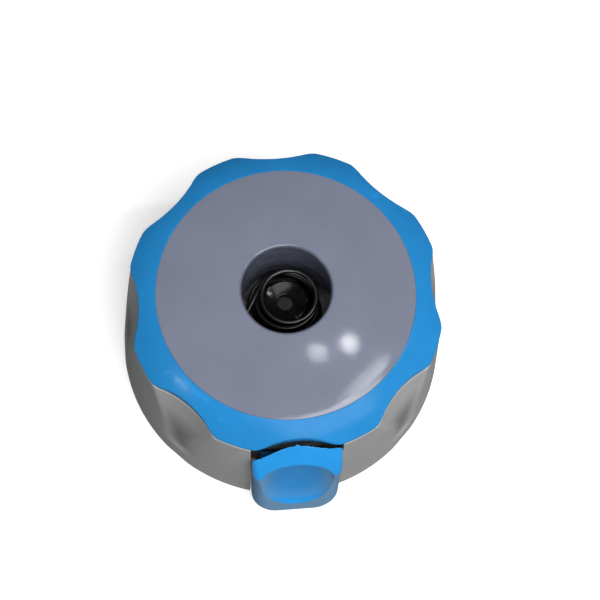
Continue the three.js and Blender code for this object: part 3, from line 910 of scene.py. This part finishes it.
def coil(path, wire, sides=14):
    """A round wire along a list of points, closed at both ends."""
    path = np.array(path)
    ahead = np.gradient(path, axis=0)
    ahead /= np.linalg.norm(ahead, axis=1)[:, None]
    out = path * [1, 1, 0]
    out /= np.linalg.norm(out, axis=1)[:, None]
    side = np.cross(ahead, out)
    side /= np.linalg.norm(side, axis=1)[:, None]
    out = np.cross(side, ahead)
    vertices = []
    for k in range(sides):
        angle = 2 * math.pi * k / sides
        vertices.append(path + wire * (math.cos(angle) * out + math.sin(angle) * side))
    count = len(path)
    vertices = np.stack(vertices, 1).reshape(-1, 3)
    faces = [tuple(range(sides)), tuple(range((count - 1) * sides, count * sides))]
    for i in range(count - 1):
        for k in range(sides):
            a, b = i * sides + k, i * sides + (k + 1) % sides
            faces.append((a, b, b + sides, a + sides))
    return vertices, faces


def centre_spring():
    """A conical spring: its top turn closes on the next, its lower turns open out, and it leans a little."""
    wire, pitch = SPRING_WIRE, SPRING_PITCH
    bottom = low("centre_spring") + wire
    top = high("centre_spring") - wire
    closed = 2 * wire + 0.03
    turns = 1 + (top - closed - bottom) / pitch
    steps = int(72 * turns)
    path = []
    for i in range(steps + 1):
        t = turns * i / steps
        radius = SPRING_TOP_R + SPRING_CLOSED_GROWTH * min(t, 1) + SPRING_GROWTH * max(t - 1, 0)
        height = top - closed * min(t, 1) - pitch * max(t - 1, 0)
        angle = SPRING_START - 2 * math.pi * t
        lean = SPRING_LEAN[0] + SPRING_LEAN[1] * (height - bottom) / (top - bottom)
        path.append((lean + radius * math.cos(angle), radius * math.sin(angle), height))
    spring = mesh_from("hole_spring", *coil(path, wire))
    x, y, z = STRAIGHT_START
    straight = [(x + STRAIGHT_STEP[0] * k, y + STRAIGHT_STEP[1] * k, z) for k in range(STRAIGHT_POINTS)]
    leg = mesh_from("leg", *coil(straight, wire))
    add_all(spring, [leg])
    finish_piece(spring, WIRE, "spring_steel", "dial", "centre_spring", smooth_angle=60)


def dish_height(r, rim_z):
    """Height of the round dish in the sleeve's mouth, which starts from its rim."""
    rim_r = outer_radius_of_sleeve() - SLEEVE_RIM
    return rim_z - math.sqrt(DISH_R**2 - r**2) + math.sqrt(DISH_R**2 - rim_r**2)


def hub_sleeve():
    radius, bore = outer_radius_of_sleeve(), SLEEVE_BORE
    bottom, top = low("hub_sleeve"), high("hub_sleeve")
    seat, floor_of_groove, wall = BOSS_TOP + GAP, radius - GROOVE_DEPTH, top - END_WALL
    shoulder = seat + FLANGE
    mouth = [(r, dish_height(r, top)) for r in np.linspace(radius - SLEEVE_RIM, SCREW_HOLE_R, DISH_POINTS)]
    points = [
        (bore, bottom), (radius, bottom), (radius, GROOVE[0]), (floor_of_groove, GROOVE[0]),
        (floor_of_groove, GROOVE[1]), (radius, GROOVE[1]), (radius, seat), (FLANGE_R, seat),
        (FLANGE_R, shoulder), (radius, shoulder), (radius, top), *mouth, (SCREW_HOLE_R, wall), (bore, wall),
    ]
    outside = [0.2, 0.2, *[0.05] * 4, 0.1, *[0.15] * 4]
    radii = [*outside, 0.1, *[0] * (DISH_POINTS - 2), 0.15, 0.1, 0.1]
    sleeve = revolve("sleeve", fillet(points, radii), 96)
    flats = []
    for side in (-1, 1):
        xs = sorted((side * FLANGE_FLAT, side * 7.5))
        flats.append(block("flat", xs, (-8, 8), (seat - 0.1, seat + 1.1)))
    cut_all(sleeve, flats)
    finish_piece(sleeve, BLACK, "black_steel", "dial", "hub_sleeve")


def spring_washer():
    inner, outer = inner_radius("spring_washer"), outer_radius("spring_washer")
    bottom, top = low("spring_washer"), high("spring_washer")
    points = [(inner, bottom), (outer, bottom), (outer, top), (inner, top)]
    washer = revolve("washer", fillet(points, [0.1] * 4), 96)
    finish_piece(washer, BLACK, "black_steel", "dial", "spring_washer")


def return_springs():
    """The springs that push the tab out, with their end turns closed."""
    wire, turns, steps = 0.25, 7, 24
    for i in (1, 2):
        node = f"return_spring_{i}"
        lo, hi = (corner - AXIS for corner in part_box(node))
        middle, length = (lo + hi) / 2 / MM, (hi.y - lo.y) / MM
        ends = [0, 2 * wire, length - 4 * wire, length - 2 * wire]
        radius = (hi.x - lo.x) / 2 / MM - wire
        path = []
        for k in range(turns * steps + 1):
            angle = 2 * math.pi * k / steps
            along = np.interp(k / steps, [0, 1, turns - 1, turns], ends)
            path.append((radius * math.cos(angle), radius * math.sin(angle), along))
        vertices, faces = coil(path, wire, sides=10)
        place = (middle.x, lo.y / MM + wire, middle.z)
        spring = mesh_from(f"coil_{i}", vertices[:, [0, 2, 1]] + place, faces)
        finish_piece(spring, WIRE, "spring_steel", "dial", node, smooth_angle=60)
        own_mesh(spring)


# ---------------------------------------------------------------- CAD pieces that keep their shape
def dress(node, material):
    """Gives a CAD node a finish, smooth shading and lightly broken edges."""
    obj = frame["nodes"][node]
    obj.data.materials.clear()
    obj.data.materials.append(material)
    shade(obj, 30)
    edge = bevel(obj, width=0.08, segments=2, angle=40)
    edge.harden_normals = True


def dress_rest():
    finishes = {
        "index_plate": STEEL, "keeper_plate": STEEL, "lock_slide": STEEL, "circlip": BLACK,
        "zero_stop_pin": ZINC,
    }
    for node in frame["nodes"]:
        if node.startswith(("plate_screw", "keeper_screw", "tab_rivet")):
            finishes[node] = ZINC
    for node, material in finishes.items():
        dress(node, material)


# ---------------------------------------------------------------- floor, lights and camera
FLOOR_HALF = 1500
FLOOR_HEIGHT = -0.05
PAINTED_SHADE_R = (6, 8)  # the floor is painted black as shade within the first and white beyond the second
GLOW = 0.42
AIM_HEIGHT = 20


def floor():
    """A plain white floor, lit from within a little so that shadows stay pale, and painted black as shade
    under the hub.

    Seen from below it is clear.
    """
    mesh = bpy.data.meshes.new("floor")
    half, height = FLOOR_HALF * MM, FLOOR_HEIGHT * MM
    corners = [(-half, -half, height), (half, -half, height), (half, half, height), (-half, half, height)]
    mesh.from_pydata(corners, [], [(0, 1, 2, 3)])
    obj = new_object("floor", mesh)
    n = Nodes("floor")
    tone = n.mix(n.varied(n.noise(60, 3), 0, 1), (0.93, 0.93, 0.93), (0.95, 0.95, 0.95))
    reach = n.axis_distance()[0]
    # painted shade: black under the hub, where the floor is seen down the bore
    tone = n.mix(n.ramp(reach, PAINTED_SHADE_R[0] * MM, PAINTED_SHADE_R[1] * MM, 1, 0), tone, (0, 0, 0))
    glow = n.ramp(reach, (BASE_R - 4) * MM, BASE_R * MM, 0, GLOW)
    n.set(Base_Color=tone, Roughness=0.9, Emission_Color=(1, 1, 1), Emission_Strength=glow)
    clear = n.add("ShaderNodeBsdfTransparent")
    side = n.add("ShaderNodeMixShader")
    n.link(n.add("ShaderNodeNewGeometry").outputs["Backfacing"], side.inputs[0])
    n.link(n.shader.outputs["BSDF"], side.inputs[1])
    n.link(clear.outputs["BSDF"], side.inputs[2])
    n.link(side.outputs["Shader"], n.tree.nodes["Material Output"].inputs["Surface"])
    mesh.materials.append(n.material)
    obj.visible_diffuse = False
    obj.visible_glossy = False


def area_light(name, direction, distance, size, power, turn=0.0):
    """A softbox aimed at the dial from a direction, turned about its own axis."""
    data = bpy.data.lights.new(name, "AREA")
    data.shape = "RECTANGLE"
    data.size, data.size_y = size
    data.energy = power
    light = bpy.data.objects.new(name, data)
    bpy.context.scene.collection.objects.link(light)
    away = Vector(direction).normalized()
    target = AXIS + Vector((0, 0, AIM_HEIGHT * MM))
    light.location = target + away * distance
    light.rotation_mode = "QUATERNION"
    light.rotation_quaternion = away.to_track_quat("Z", "Y") @ Quaternion((0, 0, 1), turn)


def lights():
    world = bpy.data.worlds.new("studio")
    world.use_nodes = True
    sky = world.node_tree.nodes["Background"].inputs
    sky["Color"].default_value = (0.97, 0.98, 1.0, 1)
    sky["Strength"].default_value = 0.1
    bpy.context.scene.world = world
    area_light("key", (0.25, -0.55, 1.0), 1.1, (0.8, 0.8), 12.6)
    area_light("lamp_left", (0.146, 0.077, 1.0), 0.9, (0.014, 0.014), 0.08)
    area_light("lamp_right", (0.26, 0.104, 1.0), 0.9, (0.018, 0.014), 0.11)
    area_light("lamp_side", (-0.95, -0.37, 1.0), 0.7, (0.02, 0.02), 0.45)
    area_light("window", (0.7, -0.05, 1.0), 0.9, (0.07, 0.03), 0.9, math.radians(-51))
    area_light("strip", (0.305, -0.04, 1.0), 0.9, (0.2, 0.012), 0.2, math.radians(-37))


CAMERA_AZIMUTH = math.radians(-12.27)
CAMERA_ELEVATION = math.radians(72.44)
CAMERA_ROLL = math.radians(7.97)
CAMERA_DISTANCE = 240.0
AIM_RIGHT = 3.13
AIM_UP = 6.46
LENS = 86.6


def camera():
    """Looks down on the dial from the tab's side, a little from the left, with the picture rolled."""
    data = bpy.data.cameras.new("camera")
    data.lens = LENS
    data.sensor_width = 36
    data.clip_start, data.clip_end = 0.01, 10
    cam = bpy.data.objects.new("camera", data)
    bpy.context.scene.collection.objects.link(cam)
    a, e = CAMERA_AZIMUTH, CAMERA_ELEVATION
    back = Vector((math.sin(a) * math.cos(e), -math.cos(a) * math.cos(e), math.sin(e)))
    level = Vector((math.cos(a), math.sin(a), 0))
    upright = back.cross(level)
    right = level * math.cos(CAMERA_ROLL) + upright * math.sin(CAMERA_ROLL)
    up = back.cross(right)
    place = AXIS + (right * AIM_RIGHT + up * AIM_UP + back * CAMERA_DISTANCE) * MM
    turn = Matrix((right, up, back)).transposed().to_4x4()
    cam.matrix_world = Matrix.Translation(place) @ turn
    bpy.context.scene.camera = cam


camera()
lights()
floor()
bezel_ring()
face_cap()
dial_body()
lock_tab()
centre_spring()
hub_sleeve()
spring_washer()
return_springs()
dress_rest()
bpy.context.scene.view_settings.view_transform = "Standard"
